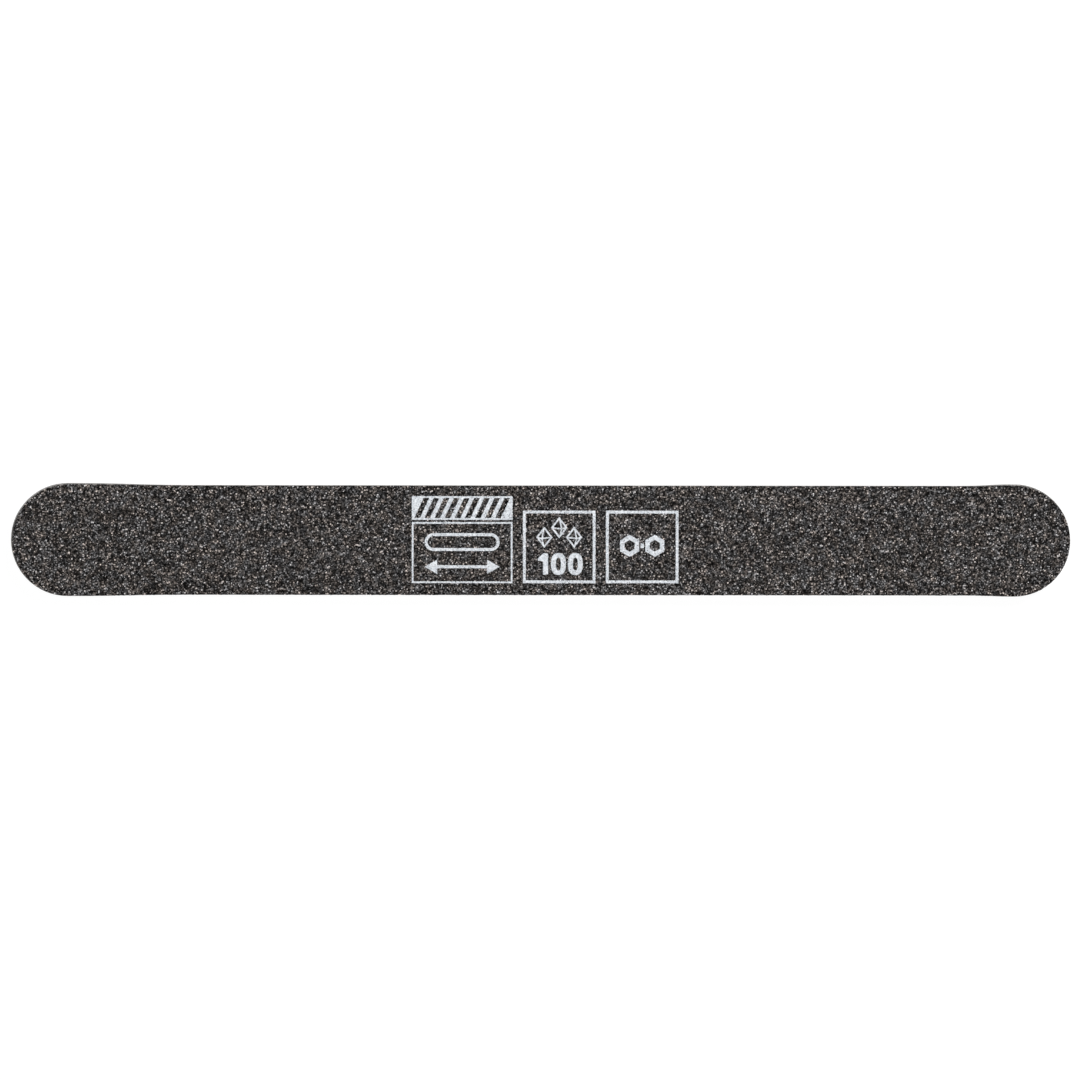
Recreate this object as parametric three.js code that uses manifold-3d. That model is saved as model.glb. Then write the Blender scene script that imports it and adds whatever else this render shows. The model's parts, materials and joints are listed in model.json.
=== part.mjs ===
// A flat hobby sanding stick: abrasive sheets glued over foam pads on a stiff core board.
// Millimetres, +X along the stick, +Y across it towards the top of the print, +Z up.
// The origin is the middle of the lower face, so the stick lies on z = 0.

import * as THREE from "three";
import { mergeVertices } from "three/addons/utils/BufferGeometryUtils.js";
import Module from "manifold-3d";

const wasm = await Module();
wasm.setup();

// ---- Driving dimensions -------------------------------------------------------------------

// The plan of the foam and the core: a slightly narrower waist that flares to two round ends.
const stickLength = 178;
const waistWidth = 18.35;
const leftEndWidth = 19;
const rightEndWidth = 18.87;
const leftFlare = 22;
const rightFlare = 9;

// The abrasive sheets are cut a little smaller at the ends, and glued a hair off the middle.
const foamReveal = 0.12;
const sheetShiftX = 0.07;
const sheetShiftY = -0.08;

// The laminate, from the faces inwards. Both sides are the same.
const gritThickness = 0.22;
const paperThickness = 0.25;
const filmThickness = 0.08;
const foamThickness = 0.97;
const coreThickness = 0.8;

// The print on the upper face: a label block on the left, two square boxes on its right.
const inkThickness = 0.04;
const printLeft = -21.64;
const printBottom = -7.26;
const labelWidth = 16.93;
const pictogramHeight = 10.27;
const labelStroke = 0.3;
const bandHeight = 3.98;
const bandLift = 0.36; // clear gap between the pictogram's frame and the band above it
const boxSize = 12.2;
const boxStroke = 0.48;
const boxSpacing = 1.74;

// Hatching of the band.
const hatchBar = 0.68;
const hatchGap = 0.86;
const hatchAngle = (65 * Math.PI) / 180; // of the bars, up from the band's lower edge

// The pictogram: a stick seen from above, and an arrow for the sanding stroke. What stands in a
// frame is placed from the frame's middle: a rise is upwards from it, a drop downwards.
const symbolStroke = 0.5;
const stickSymbolLength = 12.6;
const stickSymbolWidth = 3;
const stickSymbolRise = 1.765;
const arrowLength = 12.6;
const arrowHeadLength = 2.1;
const arrowHeadWidth = 2.4;
const arrowDrop = 2.385;

// The grit box: three grain symbols in an arch over the grit number.
const grainWidth = 2.76;
const grainHeight = 3.6;
const grainStroke = 0.28;
const grainLine = 0.22; // of the edges inside the outline
const grainTurn = 0.3; // how far the near corner stands off the middle, in half widths
const girdleDip = 0.2; // of the near corner below the side corners
const grainSpacing = 2.5;
const grainMiddleRise = 3.24;
const grainSideRise = 1.62;
const digitHeight = 3.55;
const digitStroke = 0.84;
const numberDrop = 4.64; // of the digits' feet
const numberShift = 0.18; // of the whole number, to the right
const oneWidth = 1.72;
const oneFlagDrop = 0.85;
const oneFlagEnd = 0.35;
const oneFlagRoot = 1.35; // how far below the top the flag's lower edge meets the stem
const oneSpacing = 0.5;
const zeroWidth = 2.5;
const zeroOvershoot = 0.07;
const zeroCapStroke = 0.76; // the zero's line is thinner at its top and bottom
const zeroFullness = 0.68; // 0.55 is an ellipse, 1 a rectangle
const zeroSpacing = 0.34;

// The compound box: two rings of atoms joined by a bond.
const ringRadius = 1.85;
const ringStroke = 0.74;
const bondLength = 0.55;
const bondSpacing = 0.24;
const compoundRise = 0.2;

const outlineSegments = 16;
const inkSegments = 10;

// ---- Materials ----------------------------------------------------------------------------

const finishes = {
  grit: { color: 0x474544, roughness: 0.85, metalness: 0 },
  paper: { color: 0xb2aca3, roughness: 0.9, metalness: 0 },
  film: { color: 0xd4d0c2, roughness: 0.35, metalness: 0 },
  foam: { color: 0x7c7a78, roughness: 0.95, metalness: 0 },
  core: { color: 0xe8e6e0, roughness: 0.5, metalness: 0 },
  ink: { color: 0xd6dae0, roughness: 0.7, metalness: 0 },
};

const stick = new THREE.Group();

function extruded(shape, thickness, curveSegments) {
  return new THREE.ExtrudeGeometry(shape, { depth: thickness, bevelEnabled: false, curveSegments });
}

function toManifold(geometry) {
  geometry.deleteAttribute("normal");
  geometry.deleteAttribute("uv");
  const merged = mergeVertices(geometry);
  const vertProperties = new Float32Array(merged.attributes.position.array);
  const triVerts = new Uint32Array(merged.index.array);
  return new wasm.Manifold(new wasm.Mesh({ numProp: 3, vertProperties, triVerts }));
}

function fromManifold(solid) {
  const { vertProperties, triVerts } = solid.getMesh();
  const geometry = new THREE.BufferGeometry();
  geometry.setAttribute("position", new THREE.BufferAttribute(vertProperties, 3));
  geometry.setIndex(new THREE.BufferAttribute(triVerts, 1));
  return geometry;
}

// A plate with windows cut through it, each window a shape of its own.
function cutPlate(shape, windows, thickness, curveSegments) {
  let solid = toManifold(extruded(shape, thickness, curveSegments));
  for (const window of windows) {
    const cutter = extruded(window, thickness * 3, curveSegments);
    cutter.translate(0, 0, -thickness);
    solid = solid.subtract(toManifold(cutter));
  }
  return fromManifold(solid);
}

// One flat piece, from its place upwards, as a named mesh of its own.
function addPlate(name, geometry, place, finish) {
  const mesh = new THREE.Mesh(geometry, new THREE.MeshStandardMaterial(finishes[finish]));
  mesh.name = name;
  mesh.position.set(...place);
  stick.add(mesh);
}

// ---- Outlines -----------------------------------------------------------------------------

// The plan of one layer: two round ends, each eased into a straight waist. A sheet's ends are
// set in from the body's.
function stickOutline(setIn) {
  const waist = waistWidth / 2;
  const reach = stickLength / 2 - setIn;
  const right = rightEndWidth / 2 - setIn;
  const rightX = reach - right;
  const rightWaistX = rightX - rightFlare;
  const rightEaseX = (rightX + rightWaistX) / 2;
  const left = leftEndWidth / 2 - setIn;
  const leftX = left - reach;
  const leftWaistX = leftX + leftFlare;
  const leftEaseX = (leftX + leftWaistX) / 2;
  const outline = new THREE.Shape();
  outline.moveTo(leftWaistX, -waist);
  outline.lineTo(rightWaistX, -waist);
  outline.bezierCurveTo(rightEaseX, -waist, rightEaseX, -right, rightX, -right);
  outline.absarc(rightX, 0, right, -Math.PI / 2, Math.PI / 2, false);
  outline.bezierCurveTo(rightEaseX, right, rightEaseX, waist, rightWaistX, waist);
  outline.lineTo(leftWaistX, waist);
  outline.bezierCurveTo(leftEaseX, waist, leftEaseX, left, leftX, left);
  outline.absarc(leftX, 0, left, Math.PI / 2, Math.PI * 1.5, false);
  outline.bezierCurveTo(leftEaseX, -left, leftEaseX, -waist, leftWaistX, -waist);
  return outline;
}

function polygon(points) {
  return new THREE.Shape(points.map(([x, y]) => new THREE.Vector2(x, y)));
}

function rectangle(x, y, width, height) {
  return polygon([[x, y], [x + width, y], [x + width, y + height], [x, y + height]]);
}

// A bar with round ends.
function stadium(x, y, length, width) {
  const radius = width / 2;
  const reach = length / 2 - radius;
  const shape = new THREE.Shape();
  shape.moveTo(x - reach, y - radius);
  shape.lineTo(x + reach, y - radius);
  shape.absarc(x + reach, y, radius, -Math.PI / 2, Math.PI / 2, false);
  shape.lineTo(x - reach, y + radius);
  shape.absarc(x - reach, y, radius, Math.PI / 2, Math.PI * 1.5, false);
  return shape;
}

// A full oval, squarer than an ellipse.
function oval(x, y, radiusX, radiusY) {
  const bowX = radiusX * zeroFullness;
  const bowY = radiusY * zeroFullness;
  const shape = new THREE.Shape();
  shape.moveTo(x + radiusX, y);
  shape.bezierCurveTo(x + radiusX, y + bowY, x + bowX, y + radiusY, x, y + radiusY);
  shape.bezierCurveTo(x - bowX, y + radiusY, x - radiusX, y + bowY, x - radiusX, y);
  shape.bezierCurveTo(x - radiusX, y - bowY, x - bowX, y - radiusY, x, y - radiusY);
  shape.bezierCurveTo(x + bowX, y - radiusY, x + radiusX, y - bowY, x + radiusX, y);
  return shape;
}

function hexagon(x, y, radius) {
  const corners = [];
  for (let i = 0; i < 6; i += 1) {
    const angle = (i * Math.PI) / 3 + Math.PI / 6;
    corners.push([x + radius * Math.cos(angle), y + radius * Math.sin(angle)]);
  }
  return polygon(corners);
}

// ---- The laminate -------------------------------------------------------------------------

const body = { outline: stickOutline(0), shift: [0, 0] };
const sheet = { outline: stickOutline(foamReveal), shift: [sheetShiftX, sheetShiftY] };

const layers = [
  ["grit_lower", sheet, gritThickness, "grit"],
  ["backing_paper_lower", sheet, paperThickness, "paper"],
  ["outer_film_lower", sheet, filmThickness, "film"],
  ["foam_pad_lower", body, foamThickness, "foam"],
  ["inner_film_lower", body, filmThickness, "film"],
  ["core_board", body, coreThickness, "core"],
  ["inner_film_upper", body, filmThickness, "film"],
  ["foam_pad_upper", body, foamThickness, "foam"],
  ["outer_film_upper", sheet, filmThickness, "film"],
  ["backing_paper_upper", sheet, paperThickness, "paper"],
  ["grit_upper", sheet, gritThickness, "grit"],
];

let height = 0;
for (const [name, plan, thickness, finish] of layers) {
  const plate = extruded(plan.outline, thickness, outlineSegments);
  addPlate(name, plate, [...plan.shift, height], finish);
  height += thickness;
}
const upperFace = height;

// ---- The print ----------------------------------------------------------------------------

function addInk(name, shape, windows = []) {
  addPlate(name, cutPlate(shape, windows, inkThickness, inkSegments), [0, 0, upperFace], "ink");
}

// A rectangular frame, with its line inside the given size.
function addFrame(name, x, y, width, height, stroke) {
  const window = rectangle(x + stroke, y + stroke, width - 2 * stroke, height - 2 * stroke);
  addInk(name, rectangle(x, y, width, height), [window]);
}

// A band crossed by leaning bars: the slots between them run from rule to rule.
function addHatchedBand(name, x, y, width, height) {
  const low = y + labelStroke;
  const high = y + height - labelStroke;
  const lean = (high - low) / Math.tan(hatchAngle);
  const slot = hatchGap / Math.sin(hatchAngle);
  const pitch = (hatchBar + hatchGap) / Math.sin(hatchAngle);
  const count = Math.floor((width - 2 * labelStroke - lean - slot) / pitch) + 1;
  const first = x + (width - (count - 1) * pitch - lean - slot) / 2;
  const slots = [];
  for (let i = 0; i < count; i += 1) {
    const left = first + i * pitch;
    const right = left + slot;
    slots.push(polygon([[left, low], [right, low], [right + lean, high], [left + lean, high]]));
  }
  addInk(name, rectangle(x, y, width, height), slots);
}

function addStickSymbol(name, x, y) {
  const innerLength = stickSymbolLength - 2 * symbolStroke;
  const innerWidth = stickSymbolWidth - 2 * symbolStroke;
  const window = stadium(x, y, innerLength, innerWidth);
  addInk(name, stadium(x, y, stickSymbolLength, stickSymbolWidth), [window]);
}

// A shaft with a solid arrowhead at both ends.
function addDoubleArrow(name, x, y) {
  const tip = arrowLength / 2;
  const neck = tip - arrowHeadLength;
  const half = symbolStroke / 2;
  const wing = arrowHeadWidth / 2;
  const lower = [[-tip, 0], [-neck, -wing], [-neck, -half], [neck, -half], [neck, -wing]];
  const upper = lower.map(([px, py]) => [-px, -py]);
  addInk(name, polygon([...lower, ...upper].map(([px, py]) => [x + px, y + py])));
}

// The point inside a triangle's corner a that is set in from side ab and from side ca.
function insetCorner(a, b, c, fromAB, fromCA) {
  const area = Math.abs((b[0] - a[0]) * (c[1] - a[1]) - (b[1] - a[1]) * (c[0] - a[0]));
  const towardsC = (fromAB * Math.hypot(b[0] - a[0], b[1] - a[1])) / area;
  const towardsB = (fromCA * Math.hypot(c[0] - a[0], c[1] - a[1])) / area;
  const kept = 1 - towardsB - towardsC;
  return [0, 1].map((i) => kept * a[i] + towardsB * b[i] + towardsC * c[i]);
}

// An eight-faced grain: a rhombus, with the edges that meet in its near corner drawn inside.
function addGrainSymbol(name, x, y, turn) {
  const halfWidth = grainWidth / 2;
  const halfHeight = grainHeight / 2;
  const near = [x + turn * halfWidth, y - girdleDip];
  const line = grainLine / 2;
  const facets = [];
  for (const side of [[x - halfWidth, y], [x + halfWidth, y]]) {
    for (const tip of [[x, y - halfHeight], [x, y + halfHeight]]) {
      const facet = [
        insetCorner(tip, side, near, grainStroke, line),
        insetCorner(side, near, tip, line, grainStroke),
        insetCorner(near, tip, side, line, line),
      ];
      facets.push(polygon(facet));
    }
  }
  const tips = [[x + halfWidth, y], [x, y + halfHeight], [x - halfWidth, y], [x, y - halfHeight]];
  addInk(name, polygon(tips), facets);
}

// The figure one: a stem with a leaning flag that tapers to its top left.
function addDigitOne(name, x, y) {
  const right = x + oneWidth;
  const stem = right - digitStroke;
  const top = y + digitHeight;
  const foot = [[stem, y], [right, y]];
  const flagEnd = [[x, top - oneFlagDrop], [x, top - oneFlagDrop - oneFlagEnd]];
  addInk(name, polygon([...foot, [right, top], [stem, top], ...flagEnd, [stem, top - oneFlagRoot]]));
}

function addDigitZero(name, x, y) {
  const middle = [x + zeroWidth / 2, y + digitHeight / 2];
  const radiusX = zeroWidth / 2;
  const radiusY = digitHeight / 2 + zeroOvershoot;
  const counter = oval(...middle, radiusX - digitStroke, radiusY - zeroCapStroke);
  addInk(name, oval(...middle, radiusX, radiusY), [counter]);
}

function addAtomRing(name, x, y) {
  const inner = ringRadius - ringStroke / Math.cos(Math.PI / 6);
  addInk(name, hexagon(x, y, ringRadius), [hexagon(x, y, inner)]);
}

// The label block: the pictogram in its frame, with the hatched band above.
addFrame("pictogram_frame", printLeft, printBottom, labelWidth, pictogramHeight, labelStroke);
const bandBottom = printBottom + pictogramHeight + bandLift;
addHatchedBand("header_band", printLeft, bandBottom, labelWidth, bandHeight);
const labelMiddle = printLeft + labelWidth / 2;
const pictogramLevel = printBottom + pictogramHeight / 2;
addStickSymbol("stick_symbol", labelMiddle, pictogramLevel + stickSymbolRise);
addDoubleArrow("stroke_arrow", labelMiddle, pictogramLevel - arrowDrop);

// The grit box.
const gritBoxLeft = printLeft + labelWidth + boxSpacing;
const gritBoxMiddle = gritBoxLeft + boxSize / 2;
const boxLevel = printBottom + boxSize / 2;
addFrame("grit_box_frame", gritBoxLeft, printBottom, boxSize, boxSize, boxStroke);
const sideGrainY = boxLevel + grainSideRise;
addGrainSymbol("grain_symbol_left", gritBoxMiddle - grainSpacing, sideGrainY, -grainTurn);
addGrainSymbol("grain_symbol_middle", gritBoxMiddle, boxLevel + grainMiddleRise, grainTurn);
addGrainSymbol("grain_symbol_right", gritBoxMiddle + grainSpacing, sideGrainY, grainTurn);
const numberWidth = oneWidth + oneSpacing + zeroWidth + zeroSpacing + zeroWidth;
const numberLeft = gritBoxMiddle + numberShift - numberWidth / 2;
const numberBase = boxLevel - numberDrop;
const zeroLeft = numberLeft + oneWidth + oneSpacing;
addDigitOne("grit_digit_1", numberLeft, numberBase);
addDigitZero("grit_digit_2", zeroLeft, numberBase);
addDigitZero("grit_digit_3", zeroLeft + zeroWidth + zeroSpacing, numberBase);

// The compound box.
const compoundBoxLeft = gritBoxLeft + boxSize + boxSpacing;
const compoundMiddle = compoundBoxLeft + boxSize / 2;
const compoundLevel = boxLevel + compoundRise;
const ringReach = bondLength / 2 + bondSpacing + ringRadius * Math.cos(Math.PI / 6);
const bond = [compoundMiddle - bondLength / 2, compoundLevel - ringStroke / 2];
addFrame("compound_box_frame", compoundBoxLeft, printBottom, boxSize, boxSize, boxStroke);
addAtomRing("compound_ring_left", compoundMiddle - ringReach, compoundLevel);
addInk("compound_bond", rectangle(...bond, bondLength, ringStroke));
addAtomRing("compound_ring_right", compoundMiddle + ringReach, compoundLevel);

export default stick;
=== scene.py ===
import json
import math

import bmesh
import bpy
import numpy as np
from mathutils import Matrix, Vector


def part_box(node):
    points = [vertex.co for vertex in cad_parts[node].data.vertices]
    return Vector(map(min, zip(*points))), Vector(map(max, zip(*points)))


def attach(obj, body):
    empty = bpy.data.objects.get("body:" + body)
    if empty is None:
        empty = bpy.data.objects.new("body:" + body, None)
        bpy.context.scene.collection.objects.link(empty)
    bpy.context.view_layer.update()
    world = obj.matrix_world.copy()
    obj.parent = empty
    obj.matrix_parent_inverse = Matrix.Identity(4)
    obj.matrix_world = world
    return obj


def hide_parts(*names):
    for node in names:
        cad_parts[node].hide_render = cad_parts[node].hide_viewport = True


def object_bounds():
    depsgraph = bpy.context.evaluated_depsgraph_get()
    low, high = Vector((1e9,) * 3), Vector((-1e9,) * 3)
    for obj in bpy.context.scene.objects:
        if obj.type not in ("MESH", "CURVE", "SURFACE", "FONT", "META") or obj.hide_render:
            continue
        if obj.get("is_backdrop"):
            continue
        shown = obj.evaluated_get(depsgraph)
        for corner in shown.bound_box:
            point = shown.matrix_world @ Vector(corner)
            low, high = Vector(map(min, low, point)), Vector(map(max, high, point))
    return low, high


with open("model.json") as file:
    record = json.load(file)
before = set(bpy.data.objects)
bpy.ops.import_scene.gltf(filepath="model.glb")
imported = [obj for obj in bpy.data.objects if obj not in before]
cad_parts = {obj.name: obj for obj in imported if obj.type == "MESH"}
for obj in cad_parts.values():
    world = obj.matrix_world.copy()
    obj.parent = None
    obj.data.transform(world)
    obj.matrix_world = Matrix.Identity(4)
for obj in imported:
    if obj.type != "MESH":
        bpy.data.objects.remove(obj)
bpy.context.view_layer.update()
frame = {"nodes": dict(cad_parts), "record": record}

MM = 0.001
NEAR = 1e-6  # two points that are nearer than this are one
ON_CUT = 1e-7  # a point that is nearer than this to a cut lies on it
UP, DOWN = 1, -1
BAKE_MAP = "OFBake"  # the map that patterned finishes are baked onto

# ---- Sizes finer than the laminate itself ---------------------------------------------------

END_CHORDS = 26  # straight cuts that round one end of a sheet
LONG_EDGE_SHARE = 0.9  # of an end's radius: points farther out than this are on the long edge
MAP_ROWS = 3  # the long sheets are cut into this many rows on their own map
MAP_MARGIN = 0.012  # kept free round each row, as a share of it, and round the strip
ROWS_SHARE = 0.92  # of the map's height, which leaves room for the strip
STRIP_SHARE = 0.04  # of the map's height
STRIP_SLANT = 0.1  # of the strip's length that goes by a face's place across the piece
CELL_SHARE = 0.7  # of a crystal's cell, which keeps its neighbours' colours off it

# The size coat: the resin between the big grains, rough with the smaller ones.
COAT_CELL = 0.25 * MM
COAT_SLIVER = 0.01 * MM  # corners that the cuts leave nearer than this are one
COAT_JITTER = 0.34  # of a cell, by which its corners stray
COAT_LEVEL = 0.115 * MM  # of its middle, below the layer's face
COAT_ROUGHNESS = 0.085 * MM  # from its deepest hollow to its highest peak
COAT_SHARPNESS = 1.6  # above 1, more hollows than peaks
EDGE_SLUMP = 0.3  # of the roughness, by which the coat sinks at its edge
EDGE_RAGGEDNESS = 0.035 * MM  # by which its outline strays
MINERAL_CELL = 0.24 * MM  # of the colour, which is one small grain to a cell

# The big grains, which stand out of the coat.
GRAIN_PITCH = 0.362 * MM
GRAIN_STRAY = 1.15  # pitches, the width of the patch in which a grain may lie
GRAIN_EDGE_GAP = 0.7  # grain sizes that stay clear at the edge
GRAIN_SIZE = 0.118 * MM  # half the usual grain's length
GRAIN_SPREAD = 0.25  # of the sizes' logarithm
GRAIN_LIMITS = 0.6, 1.5  # the smallest and the largest, in usual sizes
GRAIN_STRETCH = 0.7, 1.35  # along each of a grain's own axes
GRAIN_UNEVENNESS = 0.78, 1.22  # of each corner's distance from the middle
TIP_SINK = 0.05 * MM  # the deepest that a grain's tip lies below the layer's face
TIP_LEVELLING = 1.5  # above 1, more tips near the face
GRAIN_ROOM = 0.01 * MM  # kept clear at the layer's back

# The print: a soft film of ink draped over the grains, whose sharp tips stand through it.
INK_CELL = 0.1 * MM
INK_SLIVER = 0.012 * MM  # corners that the cuts leave nearer than this are one
INK_FILM = 0.03 * MM  # its thickness
INK_COVER = 0.028 * MM  # of its upper face over the grit at each corner of a cell
INK_RAGGEDNESS = 0.025 * MM  # the usual stray of its edge
INK_SMOOTHING = 0.3  # of the way from a corner's height to its neighbours'

# The foam pads, die-cut with a slightly hollow flank.
FOAM_STEP = 0.35 * MM  # the farthest apart that points on its outline are
FOAM_LEVELS = 7  # steps down the flank
FOAM_HOLLOW = 0.1 * MM  # at half its height
FOAM_PITTING = 0.035 * MM  # the deepest pit

# The floor, the sky and the camera.
FLOOR_REACH = 3  # from its middle to its edge, in metres
FLOOR_GREY = 0.12
FLOOR_GLOW = 0.93
SKY_STRENGTH = 0.12
LENS = 200
SENSOR_WIDTH = 36
VIEW_MARGIN = 1.019  # the view's width, in lengths of the stick
EYE_SHIFT = -0.1 * MM  # the stick lies a hair off the middle of the view
EYE_ROLL = math.radians(0.06)


# ---- Small helpers for meshes ---------------------------------------------------------------

def new_piece(name, bm, materials, replaced):
    """A shape as a piece of the stick, standing for the given layers of the design."""
    mesh = bpy.data.meshes.new(name)
    bm.to_mesh(mesh)
    bm.free()
    return piece_of(name, mesh, materials, replaced)


def piece_of(name, mesh, materials, replaced):
    """The same for a shape that is a mesh already."""
    piece = bpy.data.objects.new(name, mesh)
    bpy.context.scene.collection.objects.link(piece)
    for material in materials:
        mesh.materials.append(material)
    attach(piece, "root")
    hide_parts(*replaced)
    return piece


def only(parts, kind):
    """The points, edges or faces among what an operator has made."""
    return [part for part in parts if isinstance(part, kind)]


def read_numbers(items, key, kind, width=1):
    """One property of all of a mesh's points, corners or faces, as a flat row of numbers."""
    numbers = np.zeros(len(items) * width, kind)
    items.foreach_get(key, numbers)
    return numbers


def read_points(mesh):
    return read_numbers(mesh.vertices, "co", np.float32, 3).reshape(-1, 3)


def write_points(mesh, points):
    mesh.vertices.foreach_set("co", points.astype(np.float32).ravel())
    mesh.update()


def write_map(mesh, u, v):
    """The piece's own map, with a place for each corner of each face."""
    layer = mesh.uv_layers.new(name=BAKE_MAP)
    layer.data.foreach_set("uv", np.stack([u, v], 1).astype(np.float32).ravel())


def plan_map(mesh, rows=1):
    """A map of the piece's plan, cut along X into rows that lie one above the other.

    The faces of its second finish lie under those of the first, or stand on edge, so they share a
    strip of their own beside the rows.
    """
    points = read_points(mesh)
    low, size = points.min(0), np.ptp(points, axis=0)
    place = (points[read_numbers(mesh.loops, "vertex_index", np.int32)] - low) / size
    x, y, z = place.T
    counts = read_numbers(mesh.polygons, "loop_total", np.int32)
    second = np.repeat(read_numbers(mesh.polygons, "material_index", np.int32) == 1, counts)
    centres = read_numbers(mesh.polygons, "center", np.float32, 3).reshape(-1, 3)
    along = (centres[:, 0] - low[0]) / size[0] * rows
    row = np.repeat(np.clip(along.astype(int), 0, rows - 1), counts)
    inner = 1 - 2 * MAP_MARGIN
    u = MAP_MARGIN + (x * rows - row) * inner
    v = (row + MAP_MARGIN + y * inner) / rows * ROWS_SHARE
    strip_u = MAP_MARGIN + ((1 - STRIP_SLANT) * x + STRIP_SLANT * y) * inner
    strip_v = 1 - MAP_MARGIN - (y + z) / 2 * STRIP_SHARE
    write_map(mesh, np.where(second, strip_u, u), np.where(second, strip_v, v))


def cell_map(mesh, shapes):
    """A map with a cell for each of the shapes' plans, given as their points, shape by shape."""
    plans = shapes[:, :, :2] - shapes[:, :, :2].min(1, keepdims=True)
    plans /= plans.max((1, 2), keepdims=True)
    columns = math.ceil(math.sqrt(len(shapes)))
    cells = np.stack(np.divmod(np.arange(len(shapes)), columns), 1)
    gap = (1 - CELL_SHARE) / 2
    corners = (cells[:, None] + gap + plans * CELL_SHARE) / columns
    u, v = corners.reshape(-1, 2)[read_numbers(mesh.loops, "vertex_index", np.int32)].T
    write_map(mesh, u, v)


# ---- Small helpers for materials ------------------------------------------------------------

class Finish:
    """A material with short names for the nodes that the finishes below are made of."""

    def __init__(self, name, **sockets):
        self.material = bpy.data.materials.new(name)
        self.material.use_nodes = True
        self.nodes = self.material.node_tree.nodes
        self.links = self.material.node_tree.links
        self.nodes.clear()
        output = self.nodes.new("ShaderNodeOutputMaterial")
        self.shader = self.nodes.new("ShaderNodeBsdfPrincipled")
        self.links.new(self.shader.outputs["BSDF"], output.inputs["Surface"])
        for socket, value in sockets.items():
            self.shader.inputs[socket.replace("_", " ")].default_value = value
        self.place = self.nodes.new("ShaderNodeTexCoord").outputs["Object"]

    def put(self, value, socket):
        if isinstance(value, bpy.types.NodeSocket):
            self.links.new(value, socket)
        else:
            socket.default_value = value

    def stretched(self, x, y, z):
        mapping = self.nodes.new("ShaderNodeMapping")
        mapping.inputs["Scale"].default_value = (x, y, z)
        self.links.new(self.place, mapping.inputs["Vector"])
        return mapping.outputs["Vector"]

    def noise(self, size, detail=2.0, roughness=0.5, place=None):
        node = self.nodes.new("ShaderNodeTexNoise")
        node.inputs["Scale"].default_value = 1 / size
        node.inputs["Detail"].default_value = detail
        node.inputs["Roughness"].default_value = roughness
        self.links.new(place or self.place, node.inputs["Vector"])
        return node.outputs["Fac"]

    def cells(self, size, output="Color"):
        node = self.nodes.new("ShaderNodeTexVoronoi")
        node.inputs["Scale"].default_value = 1 / size
        self.links.new(self.place, node.inputs["Vector"])
        return node.outputs[output]

    def channel(self, colour, name):
        node = self.nodes.new("ShaderNodeSeparateColor")
        self.links.new(colour, node.inputs["Color"])
        return node.outputs[name]

    def attribute(self, name):
        node = self.nodes.new("ShaderNodeAttribute")
        node.attribute_name = name
        return node.outputs["Fac"]

    def ramp(self, value, *stops):
        """Each stop is (place, colour), the colour a grey or three numbers."""
        node = self.nodes.new("ShaderNodeValToRGB")
        elements = node.color_ramp.elements
        while len(elements) < len(stops):
            elements.new(0.5)
        for element, (at, colour) in zip(elements, stops):
            rgb = (colour,) * 3 if isinstance(colour, (int, float)) else colour
            element.position = at
            element.color = (*rgb, 1)
        self.links.new(value, node.inputs["Fac"])
        return node.outputs["Color"]

    def mix(self, kind, share, a, b):
        node = self.nodes.new("ShaderNodeMix")
        node.data_type = "RGBA"
        node.blend_type = kind
        self.put(share, node.inputs["Factor"])
        self.put(a, node.inputs["A"])
        self.put(b, node.inputs["B"])
        return node.outputs["Result"]

    def scaled(self, value, low, high):
        node = self.nodes.new("ShaderNodeMapRange")
        node.inputs["To Min"].default_value = low
        node.inputs["To Max"].default_value = high
        self.links.new(value, node.inputs["Value"])
        return node.outputs["Result"]

    def bump(self, height, depth, strength=1.0):
        node = self.nodes.new("ShaderNodeBump")
        node.inputs["Distance"].default_value = depth
        node.inputs["Strength"].default_value = strength
        self.links.new(height, node.inputs["Height"])
        self.links.new(node.outputs["Normal"], self.shader.inputs["Normal"])

    def colour(self, value):
        self.put(value, self.shader.inputs["Base Color"])

    def gloss(self, value):
        self.put(value, self.shader.inputs["Roughness"])


# ---- Finishes -------------------------------------------------------------------------------

WARM = (1.14, 1.0, 0.92, 1)
COOL = (1.02, 1.0, 1.02, 1)


def tinted(finish, colour):
    """Silicon carbide drifts between a brownish and a bluish black over a millimetre or so."""
    drift = finish.noise(1.1 * MM, 1.0)
    tint = finish.mix("MIX", finish.ramp(drift, (0.38, 0), (0.62, 1)), WARM, COOL)
    return finish.mix("MULTIPLY", 1.0, colour, tint)


def mineral_tone_and_painted_glints(finish, tone):
    """From a black crystal to a few pale ones: the palest tones are painted glints, light that a
    crystal would catch painted into its colour.
    """
    # the two highest stops brighten a few crystals into painted glints
    stops = (0.0, 0.0005), (0.25, 0.0095), (0.5, 0.0445), (0.75, 0.116), (0.92, 0.25), (1.0, 0.7)
    return tinted(finish, finish.ramp(tone, *stops))


def grain_finish():
    finish = Finish("silicon_carbide_grains", IOR=1.33)
    colour = mineral_tone_and_painted_glints(finish, finish.attribute("grain_tone"))
    flaws = finish.noise(0.09 * MM, 2.0)
    finish.colour(finish.mix("MULTIPLY", 1.0, colour, finish.ramp(flaws, (0.3, 0.7), (0.7, 1.25))))
    finish.gloss(finish.scaled(finish.attribute("grain_polish"), 0.12, 0.4))
    finish.bump(flaws, 0.015 * MM, 0.6)
    return finish.material


def coat_finish():
    finish = Finish("size_coat_resin", IOR=1.12)
    lumps = finish.cells(MINERAL_CELL)
    colour = mineral_tone_and_painted_glints(finish, finish.channel(lumps, "Red"))
    gaps_and_painted_shade = finish.cells(MINERAL_CELL, "Distance")
    # painted shade and light: the colour darkens towards the gaps between the lumps and is lifted
    # in their middles
    finish.colour(finish.mix("MULTIPLY", 1.0, colour, finish.ramp(gaps_and_painted_shade, (0.2, 1.2), (0.7, 0.2))))
    finish.gloss(finish.scaled(finish.channel(lumps, "Green"), 0.25, 0.6))
    finish.bump(gaps_and_painted_shade, -0.03 * MM, 0.7)
    return finish.material


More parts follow.
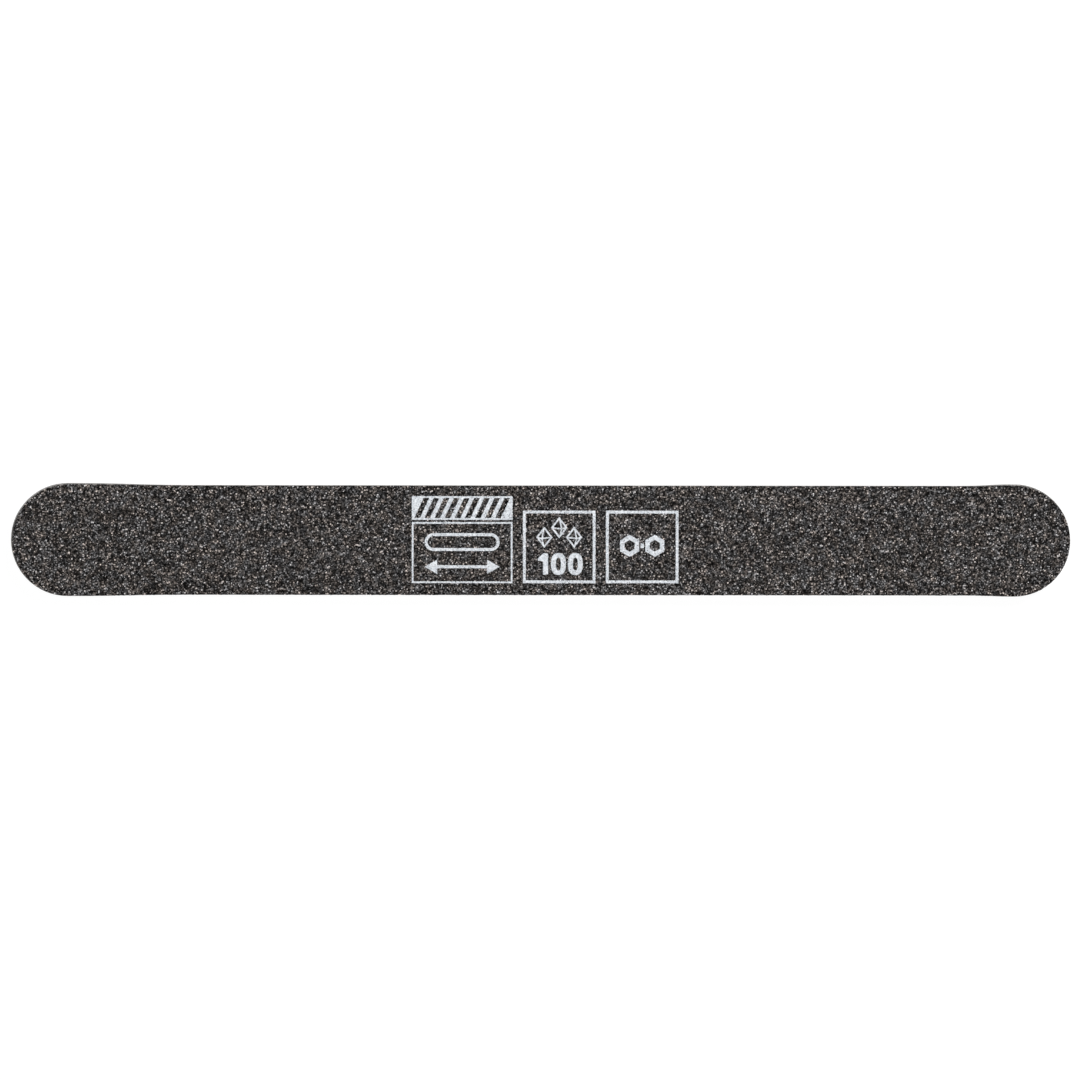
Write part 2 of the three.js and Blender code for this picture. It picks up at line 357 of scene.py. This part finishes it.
def coat_edge_finish():
    finish = Finish("size_coat_cut_edge", IOR=1.55)
    finish.shader.inputs["Base Color"].default_value = (0.024, 0.022, 0.021, 1)
    lumps = finish.cells(0.16 * MM, "Distance")
    finish.gloss(finish.scaled(lumps, 0.45, 0.9))
    finish.bump(lumps, -0.04 * MM)
    return finish.material


def ink_finish():
    finish = Finish("screen_print_ink", IOR=1.48)
    mottle = finish.noise(0.34 * MM, 2.0)
    thin, usual, thick = (0.43, 0.46, 0.5), (0.61, 0.635, 0.67), (0.78, 0.8, 0.83)
    colour = finish.ramp(mottle, (0.3, thin), (0.55, usual), (0.75, thick))
    holes = finish.ramp(finish.noise(0.17 * MM, 1.0, 0.4), (0.72, 0), (0.8, 0.5))
    finish.colour(finish.mix("MIX", holes, colour, (0.13, 0.13, 0.14, 1)))
    finish.gloss(finish.scaled(mottle, 0.5, 0.8))
    finish.bump(mottle, 0.02 * MM, 0.5)
    return finish.material


def ink_edge_finish():
    finish = Finish("screen_print_ink_edge", IOR=1.48)
    finish.shader.inputs["Base Color"].default_value = (0.6, 0.63, 0.67, 1)
    grain = finish.noise(0.2 * MM)
    finish.gloss(finish.scaled(grain, 0.55, 0.8))
    finish.bump(grain, 0.02 * MM, 0.5)
    return finish.material


def foam_finish():
    finish = Finish("closed_cell_foam", IOR=1.4)
    cells = finish.cells(0.15 * MM, "Distance")
    # painted shade and light: each cell is darker in its hollow and paler on its raised walls
    painted_cell_shade = finish.ramp(cells, (0.1, 0.55), (0.45, 1.0), (0.8, 1.3))
    drift = finish.noise(1.6 * MM, 3.0)
    grey = finish.ramp(drift, (0.35, (0.2, 0.196, 0.192)), (0.65, (0.29, 0.285, 0.28)))
    colour = finish.mix("MULTIPLY", 1.0, grey, painted_cell_shade)
    dust = finish.ramp(finish.noise(0.2 * MM, 2.0), (0.62, 0), (0.7, 0.75))
    finish.colour(finish.mix("MIX", dust, colour, (0.035, 0.033, 0.032, 1)))
    finish.gloss(finish.scaled(cells, 0.95, 0.7))
    finish.bump(cells, 0.06 * MM)
    return finish.material


def paper_finish():
    finish = Finish("backing_paper", IOR=1.45)
    fibres = finish.noise(0.12 * MM, 3.0, 0.6, finish.stretched(0.16, 0.16, 1.5))
    dark, usual, pale = (0.3, 0.27, 0.235), (0.45, 0.415, 0.37), (0.58, 0.55, 0.5)
    colour = finish.ramp(fibres, (0.3, dark), (0.5, usual), (0.72, pale))
    soot = finish.noise(0.9 * MM, 2.0)
    finish.colour(finish.mix("MULTIPLY", 1.0, colour, finish.ramp(soot, (0.35, 0.72), (0.6, 1.05))))
    finish.gloss(finish.scaled(fibres, 0.75, 0.95))
    finish.bump(fibres, 0.04 * MM)
    return finish.material


def film_finish():
    finish = Finish("adhesive_film", IOR=1.5)
    runs = finish.noise(0.5 * MM, 2.0)
    colour = finish.ramp(runs, (0.35, (0.42, 0.4, 0.34)), (0.65, (0.62, 0.6, 0.52)))
    dust = finish.ramp(finish.noise(0.14 * MM, 1.0), (0.6, 0), (0.7, 0.7))
    finish.colour(finish.mix("MIX", dust, colour, (0.1, 0.1, 0.1, 1)))
    finish.gloss(finish.scaled(runs, 0.25, 0.5))
    finish.bump(runs, 0.02 * MM)
    return finish.material


def board_finish():
    finish = Finish("core_board", IOR=1.59)
    shear = finish.noise(0.3 * MM, 3.0, 0.6, finish.stretched(1.6, 1.6, 0.12))
    colour = finish.ramp(shear, (0.3, (0.62, 0.61, 0.57)), (0.6, (0.82, 0.805, 0.76)))
    dust = finish.ramp(finish.noise(0.22 * MM, 2.0), (0.62, 0), (0.74, 0.6))
    finish.colour(finish.mix("MIX", dust, colour, (0.2, 0.195, 0.19, 1)))
    finish.gloss(finish.scaled(shear, 0.35, 0.6))
    finish.bump(shear, 0.03 * MM)
    return finish.material


# ---- The abrasive ---------------------------------------------------------------------------

class Plan:
    """The plan of a layer, about its own middle: its long edge, and its two round ends."""

    def __init__(self, node):
        low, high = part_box(node)
        self.middle = (low + high) / 2
        self.half_length = (high.x - low.x) / 2
        offsets = [v.co - self.middle for v in frame["nodes"][node].data.vertices]
        self.radius = {side: max(p.y for p in offsets if p.x * side > 0) for side in (-1, 1)}
        self.centre = {side: side * (self.half_length - self.radius[side]) for side in (-1, 1)}
        outside = [p for p in offsets if p.y > LONG_EDGE_SHARE * self.radius[1]]
        edge = {(round(p.x, 6), round(p.y, 6)) for p in outside}
        edge = sorted(p for p in edge if self.centre[-1] - NEAR < p[0] < self.centre[1] + NEAR)
        self.edge_x, self.edge_y = np.array(edge).T

    def half_width(self, x):
        """Half the width at a place along the layer, as if its ends were square."""
        return np.interp(x, self.edge_x, self.edge_y)

    def spine(self, x):
        """The nearest place to x on the line between the centres of the two ends."""
        return np.clip(x, self.centre[-1], self.centre[1])


def rounded_grid(plan, cell):
    """A flat grid with the plan of a layer: a strip with square ends, which are then cut round."""
    columns = MAP_ROWS * round(2 * plan.half_length / cell / MAP_ROWS)
    rows = round(2 * plan.radius[-1] / cell)
    bm = bmesh.new()
    bmesh.ops.create_grid(bm, x_segments=columns, y_segments=rows, size=1)
    bmesh.ops.scale(bm, vec=(plan.half_length, 1, 1), verts=bm.verts)
    for v in bm.verts:
        v.co.y *= plan.half_width(v.co.x)
    step = math.pi / END_CHORDS
    for side in (-1, 1):
        centre = Vector((plan.centre[side], 0, 0))
        for chord in range(END_CHORDS):
            angle = (chord + 0.5) * step - math.pi / 2
            outward = Vector((side * math.cos(angle), math.sin(angle), 0))
            near = [v for v in bm.verts if side * v.co.x > side * centre.x - cell]
            edges = {e for v in near for e in v.link_edges}
            faces = {f for v in near for f in v.link_faces}
            bmesh.ops.bisect_plane(
                bm,
                geom=[*near, *edges, *faces],
                dist=ON_CUT,
                plane_co=centre + outward * plan.radius[side] * math.cos(step / 2),
                plane_no=outward,
                clear_outer=True,
            )
    bmesh.ops.remove_doubles(bm, verts=bm.verts, dist=COAT_SLIVER)
    bmesh.ops.translate(bm, verts=bm.verts, vec=(plan.middle.x, plan.middle.y, 0))
    return bm


def size_coat(name, node, facing, seed, finishes):
    """The resin coat: a closed sheet whose face is rough with small sharp grains."""
    rng = np.random.default_rng(seed)
    low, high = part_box(node)
    face, back = (high.z, low.z) if facing == UP else (low.z, high.z)
    bm = rounded_grid(Plan(node), COAT_CELL)
    for v in bm.verts:
        lift = rng.random() ** COAT_SHARPNESS
        depth = COAT_LEVEL + COAT_ROUGHNESS * (0.5 - lift)
        if v.is_boundary:
            depth += COAT_ROUGHNESS * EDGE_SLUMP
            v.co += Vector((*rng.uniform(-1, 1, 2), 0)) * EDGE_RAGGEDNESS
        else:
            v.co += Vector((*rng.uniform(-1, 1, 2), 0)) * COAT_CELL * COAT_JITTER
        v.co.z = face - facing * depth
    for f in bm.faces:
        f.material_index = 0
    rim = [e for e in bm.edges if e.is_boundary]
    wall = bmesh.ops.extrude_edge_only(bm, edges=rim)["geom"]
    for v in only(wall, bmesh.types.BMVert):
        v.co.z = back
    foot = only(wall, bmesh.types.BMEdge)
    hidden = only(wall, bmesh.types.BMFace)
    hidden += bmesh.ops.edgeloop_fill(bm, edges=foot)["faces"]
    for f in hidden:
        f.material_index = 1
    bmesh.ops.recalc_face_normals(bm, faces=bm.faces)
    piece = new_piece(name, bm, finishes, [node])
    plan_map(piece.data, MAP_ROWS)
    return piece


def grain_places(node, rng):
    """Evenly strewn places inside a layer's outline."""
    plan = Plan(node)
    xs = np.arange(-plan.half_length, plan.half_length, GRAIN_PITCH)
    ys = np.arange(-plan.radius[-1], plan.radius[-1], GRAIN_PITCH)
    places = np.stack(np.meshgrid(xs, ys), -1).reshape(-1, 2)
    places += rng.uniform(-0.5, 0.5, places.shape) * GRAIN_PITCH * GRAIN_STRAY
    x, y = places.T
    clear = GRAIN_SIZE * GRAIN_EDGE_GAP
    inside = np.hypot(x - plan.spine(x), y) < plan.half_width(x) - clear
    return places[inside] + [plan.middle.x, plan.middle.y]


def random_turns(rng, count):
    """Random rotations, as count matrices, from random unit quaternions."""
    q = rng.normal(size=(count, 4))
    w, x, y, z = (q / np.linalg.norm(q, axis=1, keepdims=True)).T
    rows = [
        [1 - 2 * (y * y + z * z), 2 * (x * y - z * w), 2 * (x * z + y * w)],
        [2 * (x * y + z * w), 1 - 2 * (x * x + z * z), 2 * (y * z - x * w)],
        [2 * (x * z - y * w), 2 * (y * z + x * w), 1 - 2 * (x * x + y * y)],
    ]
    return np.array(rows).transpose(2, 0, 1)


def crystals_of(name, node, count, finishes):
    """The big grains of one face as one piece: that many eight-faced crystals in one place."""
    bm = bmesh.new()
    bmesh.ops.create_uvsphere(bm, u_segments=4, v_segments=2, radius=1)
    mesh = bpy.data.meshes.new(name)
    bm.to_mesh(mesh)
    bm.free()
    piece = piece_of(name, mesh, finishes, [node])
    array = piece.modifiers.new("one crystal for each place", "ARRAY")
    array.count = count
    array.use_relative_offset = False
    array.use_constant_offset = True
    array.constant_offset_displace = (0, 0, 0)
    repeated = piece.evaluated_get(bpy.context.evaluated_depsgraph_get())
    whole = bpy.data.meshes.new_from_object(repeated)
    piece.modifiers.remove(array)
    piece.data = whole
    whole.name = name
    bpy.data.meshes.remove(mesh)
    return piece


def grains(name, node, facing, seed, finishes):
    """The big grains of one face, each crystal turned, stretched and sunk its own way."""
    rng = np.random.default_rng(seed)
    places = grain_places(node, rng)
    count = len(places)
    piece = crystals_of(name, node, count, finishes)
    mesh = piece.data
    crystals = read_points(mesh).reshape(count, -1, 3).astype(float)
    corners = crystals.shape[1]
    crystals *= rng.uniform(*GRAIN_UNEVENNESS, (count, corners, 3))
    sizes = GRAIN_SIZE * np.clip(rng.lognormal(0, GRAIN_SPREAD, (count, 1, 1)), *GRAIN_LIMITS)
    crystals *= sizes * rng.uniform(*GRAIN_STRETCH, (count, 1, 3))
    crystals = np.einsum("nij,nkj->nki", random_turns(rng, count), crystals)
    crystals[:, :, :2] += places[:, None]

    low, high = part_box(node)
    face, back = (high.z, low.z) if facing == UP else (low.z, high.z)
    tips = (crystals[:, :, 2] * facing).max(1) * facing
    sunk = TIP_SINK * rng.random(count) ** TIP_LEVELLING
    crystals[:, :, 2] += (face - facing * sunk - tips)[:, None]
    inner = sorted((face, back + facing * GRAIN_ROOM))
    crystals[:, :, 2] = np.clip(crystals[:, :, 2], *inner)
    write_points(mesh, crystals.reshape(-1, 3))
    cell_map(mesh, crystals)
    for attribute in ("grain_tone", "grain_polish"):
        layer = mesh.attributes.new(attribute, "FLOAT", "POINT")
        layer.data.foreach_set("value", np.repeat(rng.random(count), corners).astype(np.float32))
    return piece


# ---- The print ------------------------------------------------------------------------------

def height_over(grit_pieces, x, y, start):
    """The height of the grit at a place, looking down on it."""
    heights = []
    for piece in grit_pieces:
        hit, where, _, _ = piece.ray_cast(Vector((x, y, start)), Vector((0, 0, -1)))
        if hit:
            heights.append(where.z)
    return max(heights)


def ink_mark(node, grit_pieces, seed, finishes):
    """One mark of the print: its flat shape cut into fine cells and draped over the grains."""
    rng = np.random.default_rng(seed)
    low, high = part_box(node)
    bm = bmesh.new()
    bm.from_mesh(frame["nodes"][node].data)
    bmesh.ops.remove_doubles(bm, verts=bm.verts, dist=NEAR)
    hidden = [f for f in bm.faces if f.calc_center_median().z < high.z - NEAR]
    bmesh.ops.delete(bm, geom=hidden, context="FACES")
    for axis, (start, stop) in enumerate(((low.x, high.x), (low.y, high.y))):
        normal = Vector((1, 0, 0)) if axis == 0 else Vector((0, 1, 0))
        cuts = round((stop - start) / INK_CELL)
        for i in range(1, cuts):
            where = normal * (start + (stop - start) * i / cuts)
            whole = [*bm.verts, *bm.edges, *bm.faces]
            bmesh.ops.bisect_plane(bm, geom=whole, dist=ON_CUT, plane_co=where, plane_no=normal)
    bmesh.ops.remove_doubles(bm, verts=bm.verts, dist=INK_SLIVER)
    for v in bm.verts:
        if v.is_boundary:
            v.co += Vector((*rng.normal(0, 1, 2), 0)) * INK_RAGGEDNESS
        v.co.z = height_over(grit_pieces, v.co.x, v.co.y, high.z + MM) + INK_COVER
    bmesh.ops.smooth_vert(bm, verts=bm.verts, factor=INK_SMOOTHING, use_axis_z=True)
    top = list(bm.faces)
    for f in top:
        f.material_index = 0
    body = bmesh.ops.extrude_face_region(bm, geom=top, use_keep_orig=True)["geom"]
    for v in only(body, bmesh.types.BMVert):
        v.co.z -= INK_FILM
    for f in bm.faces:
        if f not in top:
            f.material_index = 1
    bmesh.ops.recalc_face_normals(bm, faces=bm.faces)
    piece = new_piece("ink_" + node, bm, finishes, [node])
    plan_map(piece.data)
    return piece


# ---- The foam -------------------------------------------------------------------------------

def foam_pad(name, node, seed, finish):
    """A foam pad: the outline swept down its flank in steps, hollowed and pitted."""
    rng = np.random.default_rng(seed)
    low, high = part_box(node)
    bm = bmesh.new()
    bm.from_mesh(frame["nodes"][node].data)
    bmesh.ops.remove_doubles(bm, verts=bm.verts, dist=NEAR)
    lower = [f for f in bm.faces if f.calc_center_median().z < high.z - NEAR]
    bmesh.ops.delete(bm, geom=lower, context="FACES")
    bmesh.ops.dissolve_faces(bm, faces=bm.faces)
    for edge in list(bm.edges):
        cuts = math.ceil(edge.calc_length() / FOAM_STEP) - 1
        if cuts:
            bmesh.ops.subdivide_edges(bm, edges=[edge], cuts=cuts)
    rim = list(bm.edges)
    rings = [list(bm.verts)]
    for _ in range(FOAM_LEVELS):
        grown = bmesh.ops.extrude_edge_only(bm, edges=rim)["geom"]
        rim = only(grown, bmesh.types.BMEdge)
        ring = only(grown, bmesh.types.BMVert)
        bmesh.ops.translate(bm, verts=ring, vec=(0, 0, (low.z - high.z) / FOAM_LEVELS))
        rings.append(ring)
    bmesh.ops.edgeloop_fill(bm, edges=rim)
    bmesh.ops.recalc_face_normals(bm, faces=bm.faces)
    plan = Plan(node)
    for level, ring in enumerate(rings):
        share = level / FOAM_LEVELS
        hollow = FOAM_HOLLOW * math.sin(math.pi * share)
        for v in ring:
            inward = (Vector((plan.spine(v.co.x), 0, v.co.z)) - v.co).normalized()
            depth = hollow + FOAM_PITTING * rng.random() * (0 < share < 1)
            v.co += inward * depth
    piece = new_piece(name, bm, [finish], [node])
    return piece


# ---- The stick ------------------------------------------------------------------------------

grit_finishes = [coat_finish(), coat_edge_finish()]
crystal_finishes = [grain_finish()]
coat_upper = size_coat("size_coat_upper", "grit_upper", UP, 11, grit_finishes)
size_coat("size_coat_lower", "grit_lower", DOWN, 12, grit_finishes)
grains_upper = grains("grains_upper", "grit_upper", UP, 21, crystal_finishes)
grains("grains_lower", "grit_lower", DOWN, 22, crystal_finishes)

ink_finishes = [ink_finish(), ink_edge_finish()]
bpy.context.view_layer.update()
printed = [s["node"] for s in frame["record"]["subparts"] if s["material_slot"] == "print_ink"]
for number, mark in enumerate(printed):
    ink_mark(mark, [coat_upper, grains_upper], 100 + number, ink_finishes)

foam = foam_finish()
foam_pad("foam_upper", "foam_pad_upper", 31, foam)
foam_pad("foam_lower", "foam_pad_lower", 32, foam)

flat_layers = {
    "backing_paper": paper_finish(),
    "glue_film": film_finish(),
    "core_board": board_finish(),
}
for subpart in frame["record"]["subparts"]:
    if subpart["material_slot"] in flat_layers:
        layer = frame["nodes"][subpart["node"]]
        layer.data.materials.clear()
        layer.data.materials.append(flat_layers[subpart["material_slot"]])


# ---- Floor, light and camera ----------------------------------------------------------------

def light_table():
    """A plain pale floor that glows softly, so that hardly any shadow falls on it."""
    bm = bmesh.new()
    bmesh.ops.create_grid(bm, x_segments=1, y_segments=1, size=FLOOR_REACH)
    mesh = bpy.data.meshes.new("light_table")
    bm.to_mesh(mesh)
    bm.free()
    floor = bpy.data.objects.new("light_table", mesh)
    bpy.context.scene.collection.objects.link(floor)
    finish = Finish("light_table_white", Roughness=0.9, IOR=1.3)
    finish.shader.inputs["Base Color"].default_value = (FLOOR_GREY, FLOOR_GREY, FLOOR_GREY, 1)
    finish.shader.inputs["Emission Color"].default_value = (1, 1, 1, 1)
    finish.shader.inputs["Emission Strength"].default_value = FLOOR_GLOW
    mesh.materials.append(finish.material)
    floor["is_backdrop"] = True


def soft_box(name, place, size, power):
    data = bpy.data.lights.new(name, "AREA")
    data.shape = "SQUARE"
    data.size = size
    data.energy = power
    light = bpy.data.objects.new(name, data)
    light.location = place
    light.rotation_euler = (-Vector(place)).to_track_quat("-Z", "Y").to_euler()
    bpy.context.scene.collection.objects.link(light)


def camera():
    """Straight above the stick, with a long lens that just takes in its whole length."""
    data = bpy.data.cameras.new("camera")
    data.lens = LENS
    data.sensor_width = SENSOR_WIDTH
    view_width = 2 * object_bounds()[1][0] * VIEW_MARGIN
    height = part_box("grit_upper")[1].z + view_width * data.lens / data.sensor_width
    eye = bpy.data.objects.new("camera", data)
    eye.location = (EYE_SHIFT, 0, height)
    eye.rotation_euler.z = EYE_ROLL
    bpy.context.scene.collection.objects.link(eye)
    bpy.context.scene.camera = eye


light_table()
soft_box("key", (0.45, 0.5, 0.75), 0.35, 11.3)
soft_box("fill", (-0.7, -0.35, 0.8), 0.8, 6.6)
world = bpy.data.worlds.new("studio")
world.use_nodes = True
sky = world.node_tree.nodes["Background"].inputs
sky["Color"].default_value = (1, 1, 1, 1)
sky["Strength"].default_value = SKY_STRENGTH
bpy.context.scene.world = world
bpy.context.scene.view_settings.view_transform = "Standard"
camera()
